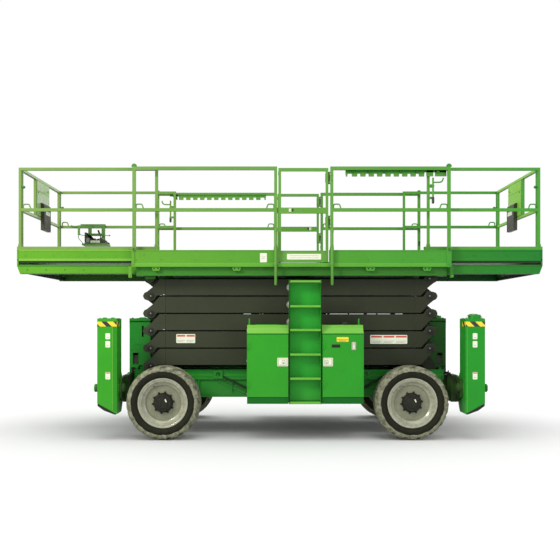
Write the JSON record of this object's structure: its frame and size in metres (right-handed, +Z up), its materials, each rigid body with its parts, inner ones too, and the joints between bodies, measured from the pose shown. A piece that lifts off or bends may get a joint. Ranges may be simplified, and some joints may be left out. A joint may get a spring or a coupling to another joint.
{
  "type": "rough-terrain scissor lift",
  "caption": "Four-wheel-drive rough-terrain scissor lift with swing-out outriggers, side cabinets, entry ladders and a railed deck with sliding extensions at both ends.",
  "frame": {"origin": "on the ground, under the middle of the whole length with both deck extensions out, on the centre line across the width", "axes": "+X towards the rear end, +Y towards the far side, +Z up"},
  "size_m": [6.141, 2.298, 3.1759],
  "materials": {
    "tyre_rubber": "dry black rubber with a worn grey tread",
    "rim_paint": "silver-beige paint",
    "scissor_paint": "satin olive-black paint",
    "rod_chrome": "polished hard chrome",
    "cylinder_paint": "satin black paint",
    "axle_iron": "dark painted casting",
    "engine_iron": "dark grey casting",
    "chassis_green": "satin dark green paint",
    "deck_green": "satin yellow-green paint",
    "ladder_green": "satin green paint",
    "console_plastic": "textured black plastic",
    "body_green": "satin yellow-green paint"
  },
  "bodies": {
    "chassis": {"chassis_frame": "chassis_green", "tie_down_lugs": "chassis_green", "outrigger_carrier_front": "chassis_green", "outrigger_carrier_rear": "chassis_green", "end_tower_front": "body_green", "end_tower_rear": "body_green", "front_axle": "axle_iron", "rear_axle": "axle_iron", "cabinet_near": "body_green", "cabinet_far": "body_green", "engine_block": "engine_iron", "entry_ladder_near": "ladder_green", "entry_ladder_far": "ladder_green"},
    "steering_near": {"steering_knuckle_near": "axle_iron"},
    "wheel_front_near": {"tyre_front_near": "tyre_rubber", "rim_front_near": "rim_paint"},
    "wheel_rear_near": {"tyre_rear_near": "tyre_rubber", "rim_rear_near": "rim_paint"},
    "outrigger_front_near": {"outrigger_leg_front_near": "body_green"},
    "door_front_near": {"cabinet_door_front_near": "body_green"},
    "outrigger_rear_near": {"outrigger_leg_rear_near": "body_green"},
    "door_rear_near": {"cabinet_door_rear_near": "body_green"},
    "steering_far": {"steering_knuckle_far": "axle_iron"},
    "wheel_front_far": {"tyre_front_far": "tyre_rubber", "rim_front_far": "rim_paint"},
    "wheel_rear_far": {"tyre_rear_far": "tyre_rubber", "rim_rear_far": "rim_paint"},
    "outrigger_front_far": {"outrigger_leg_front_far": "body_green"},
    "door_front_far": {"cabinet_door_front_far": "body_green"},
    "outrigger_rear_far": {"outrigger_leg_rear_far": "body_green"},
    "door_rear_far": {"cabinet_door_rear_far": "body_green"},
    "outer_arms_1": {"scissor_arm_outer_1": "scissor_paint"},
    "inner_arms_1": {"scissor_arm_inner_1": "scissor_paint"},
    "outer_arms_2": {"scissor_arm_outer_2": "scissor_paint"},
    "inner_arms_2": {"scissor_arm_inner_2": "scissor_paint"},
    "outer_arms_3": {"scissor_arm_outer_3": "scissor_paint"},
    "inner_arms_3": {"scissor_arm_inner_3": "scissor_paint"},
    "outer_arms_4": {"scissor_arm_outer_4": "scissor_paint"},
    "inner_arms_4": {"scissor_arm_inner_4": "scissor_paint"},
    "outer_arms_5": {"scissor_arm_outer_5": "scissor_paint"},
    "inner_arms_5": {"scissor_arm_inner_5": "scissor_paint"},
    "cylinder_lower": {"lift_cylinder_barrel_lower": "cylinder_paint"},
    "rod_lower": {"lift_cylinder_rod_lower": "rod_chrome"},
    "cylinder_upper": {"lift_cylinder_barrel_upper": "cylinder_paint"},
    "rod_upper": {"lift_cylinder_rod_upper": "rod_chrome"},
    "platform": {"main_deck": "deck_green", "platform_subframe": "chassis_green", "guardrail_near": "body_green", "guardrail_far": "body_green"},
    "gate_near": {"entry_gate_near": "body_green"},
    "gate_far": {"entry_gate_far": "body_green"},
    "front_extension": {"extension_deck_front": "deck_green", "extension_guardrail_front": "body_green", "document_box_front": "console_plastic", "control_console": "console_plastic"},
    "rear_extension": {"extension_deck_rear": "deck_green", "extension_guardrail_rear": "body_green", "document_box_rear": "console_plastic"}
  },
  "joints": [
    {"name": "steer_near", "type": "hinge", "parent": "chassis", "child": "steering_near", "pos_m": [-1.327, -0.9, 0.419], "axis": [0, 0, 1], "range_deg": [-30, 30]},
    {"name": "spin_front_near", "type": "hinge", "parent": "steering_near", "child": "wheel_front_near", "pos_m": [-1.327, -0.9875, 0.419], "axis": [0, 1, 0], "continuous": true},
    {"name": "spin_rear_near", "type": "hinge", "parent": "chassis", "child": "wheel_rear_near", "pos_m": [1.498, -0.9875, 0.419], "axis": [0, 1, 0], "continuous": true},
    {"name": "outrigger_front_near_swing", "type": "hinge", "parent": "chassis", "child": "outrigger_front_near", "pos_m": [-1.9545, -0.98, 0.58], "axis": [1, 0, 0], "range_deg": [0, 122]},
    {"name": "door_front_near_hinge", "type": "hinge", "parent": "chassis", "child": "door_front_near", "pos_m": [-0.3665, -1.143, 0.84], "axis": [0, 0, -1], "range_deg": [0, 105]},
    {"name": "outrigger_rear_near_swing", "type": "hinge", "parent": "chassis", "child": "outrigger_rear_near", "pos_m": [2.2055, -0.98, 0.58], "axis": [1, 0, 0], "range_deg": [0, 122]},
    {"name": "door_rear_near_hinge", "type": "hinge", "parent": "chassis", "child": "door_rear_near", "pos_m": [0.4845, -1.143, 0.84], "axis": [0, 0, -1], "range_deg": [0, 105]},
    {"name": "steer_far", "type": "hinge", "parent": "chassis", "child": "steering_far", "pos_m": [-1.327, 0.9, 0.419], "axis": [0, 0, 1], "range_deg": [-30, 30]},
    {"name": "spin_front_far", "type": "hinge", "parent": "steering_far", "child": "wheel_front_far", "pos_m": [-1.327, 0.9875, 0.419], "axis": [0, 1, 0], "continuous": true},
    {"name": "spin_rear_far", "type": "hinge", "parent": "chassis", "child": "wheel_rear_far", "pos_m": [1.498, 0.9875, 0.419], "axis": [0, 1, 0], "continuous": true},
    {"name": "outrigger_front_far_swing", "type": "hinge", "parent": "chassis", "child": "outrigger_front_far", "pos_m": [-1.9545, 0.98, 0.58], "axis": [-1, 0, 0], "range_deg": [0, 122]},
    {"name": "door_front_far_hinge", "type": "hinge", "parent": "chassis", "child": "door_front_far", "pos_m": [-0.3665, 1.143, 0.84], "axis": [0, 0, 1], "range_deg": [0, 105]},
    {"name": "outrigger_rear_far_swing", "type": "hinge", "parent": "chassis", "child": "outrigger_rear_far", "pos_m": [2.2055, 0.98, 0.58], "axis": [-1, 0, 0], "range_deg": [0, 122]},
    {"name": "door_rear_far_hinge", "type": "hinge", "parent": "chassis", "child": "door_rear_far", "pos_m": [0.4845, 1.143, 0.84], "axis": [0, 0, 1], "range_deg": [0, 105]},
    {"name": "lift", "type": "hinge", "parent": "chassis", "child": "outer_arms_1", "pos_m": [-1.5225, 0, 0.821], "axis": [0, -1, 0], "range_deg": [0, 60]},
    {"name": "cross_1", "type": "hinge", "parent": "outer_arms_1", "child": "inner_arms_1", "pos_m": [0.1255, 0, 0.9238], "axis": [0, 1, 0], "range_deg": [0, 120]},
    {"name": "fold_2", "type": "hinge", "parent": "outer_arms_1", "child": "inner_arms_2", "pos_m": [1.7735, 0, 1.0266], "axis": [0, 1, 0], "range_deg": [0, 120]},
    {"name": "cross_2", "type": "hinge", "parent": "inner_arms_2", "child": "outer_arms_2", "pos_m": [0.1255, 0, 1.1294], "axis": [0, -1, 0], "range_deg": [0, 120]},
    {"name": "fold_3", "type": "hinge", "parent": "inner_arms_2", "child": "outer_arms_3", "pos_m": [-1.5225, 0, 1.2322], "axis": [0, -1, 0], "range_deg": [0, 120]},
    {"name": "cross_3", "type": "hinge", "parent": "outer_arms_3", "child": "inner_arms_3", "pos_m": [0.1255, 0, 1.335], "axis": [0, 1, 0], "range_deg": [0, 120]},
    {"name": "fold_4", "type": "hinge", "parent": "outer_arms_3", "child": "inner_arms_4", "pos_m": [1.7735, 0, 1.4378], "axis": [0, 1, 0], "range_deg": [0, 120]},
    {"name": "cross_4", "type": "hinge", "parent": "inner_arms_4", "child": "outer_arms_4", "pos_m": [0.1255, 0, 1.5406], "axis": [0, -1, 0], "range_deg": [0, 120]},
    {"name": "fold_5", "type": "hinge", "parent": "inner_arms_4", "child": "outer_arms_5", "pos_m": [-1.5225, 0, 1.6434], "axis": [0, -1, 0], "range_deg": [0, 120]},
    {"name": "cross_5", "type": "hinge", "parent": "outer_arms_5", "child": "inner_arms_5", "pos_m": [0.1255, 0, 1.7462], "axis": [0, 1, 0], "range_deg": [0, 120]},
    {"name": "platform_level", "type": "hinge", "parent": "inner_arms_5", "child": "platform", "pos_m": [-1.5225, 0, 1.849], "axis": [0, -1, 0], "range_deg": [0, 60]},
    {"name": "cylinder_lower_pivot", "type": "hinge", "parent": "inner_arms_1", "child": "cylinder_lower", "pos_m": [-0.5245, 0, 0.9038], "axis": [0, -1, 0], "range_deg": [0, 121.47]},
    {"name": "cylinder_lower_stroke", "type": "slide", "parent": "cylinder_lower", "child": "rod_lower", "axis": [0.9877, 0, 0.1562], "range_m": [0, 0.62716]},
    {"name": "cylinder_upper_pivot", "type": "hinge", "parent": "inner_arms_3", "child": "cylinder_upper", "pos_m": [-0.5245, 0, 1.315], "axis": [0, -1, 0], "range_deg": [0, 121.47]},
    {"name": "cylinder_upper_stroke", "type": "slide", "parent": "cylinder_upper", "child": "rod_upper", "axis": [0.9877, 0, 0.1562], "range_m": [0, 0.62716]},
    {"name": "gate_near_hinge", "type": "hinge", "parent": "platform", "child": "gate_near", "pos_m": [0.574, -0.877, 2.6], "axis": [0, 0, -1], "range_deg": [0, 90]},
    {"name": "gate_far_hinge", "type": "hinge", "parent": "platform", "child": "gate_far", "pos_m": [0.574, 0.877, 2.6], "axis": [0, 0, 1], "range_deg": [0, 90]},
    {"name": "front_extension_slide", "type": "slide", "parent": "platform", "child": "front_extension", "axis": [1, 0, 0], "range_m": [0, 1.31]},
    {"name": "rear_extension_slide", "type": "slide", "parent": "platform", "child": "rear_extension", "axis": [-1, 0, 0], "range_m": [0, 1.038]}
  ],
  "couplings": [
    {"joint": "steer_far", "follows": "steer_near", "ratio": 1},
    {"joint": "cross_1", "follows": "lift", "ratio": 2},
    {"joint": "fold_2", "follows": "lift", "ratio": 2},
    {"joint": "cross_2", "follows": "lift", "ratio": 2},
    {"joint": "fold_3", "follows": "lift", "ratio": 2},
    {"joint": "cross_3", "follows": "lift", "ratio": 2},
    {"joint": "fold_4", "follows": "lift", "ratio": 2},
    {"joint": "cross_4", "follows": "lift", "ratio": 2},
    {"joint": "fold_5", "follows": "lift", "ratio": 2},
    {"joint": "cross_5", "follows": "lift", "ratio": 2},
    {"joint": "platform_level", "follows": "lift", "ratio": 1},
    {"joint": "cylinder_lower_pivot", "follows": "lift", "ratio": 2.0245},
    {"joint": "cylinder_lower_stroke", "follows": "lift", "m_per_rad": 0.59889},
    {"joint": "cylinder_upper_pivot", "follows": "lift", "ratio": 2.0245},
    {"joint": "cylinder_upper_stroke", "follows": "lift", "m_per_rad": 0.59889}
  ]
}
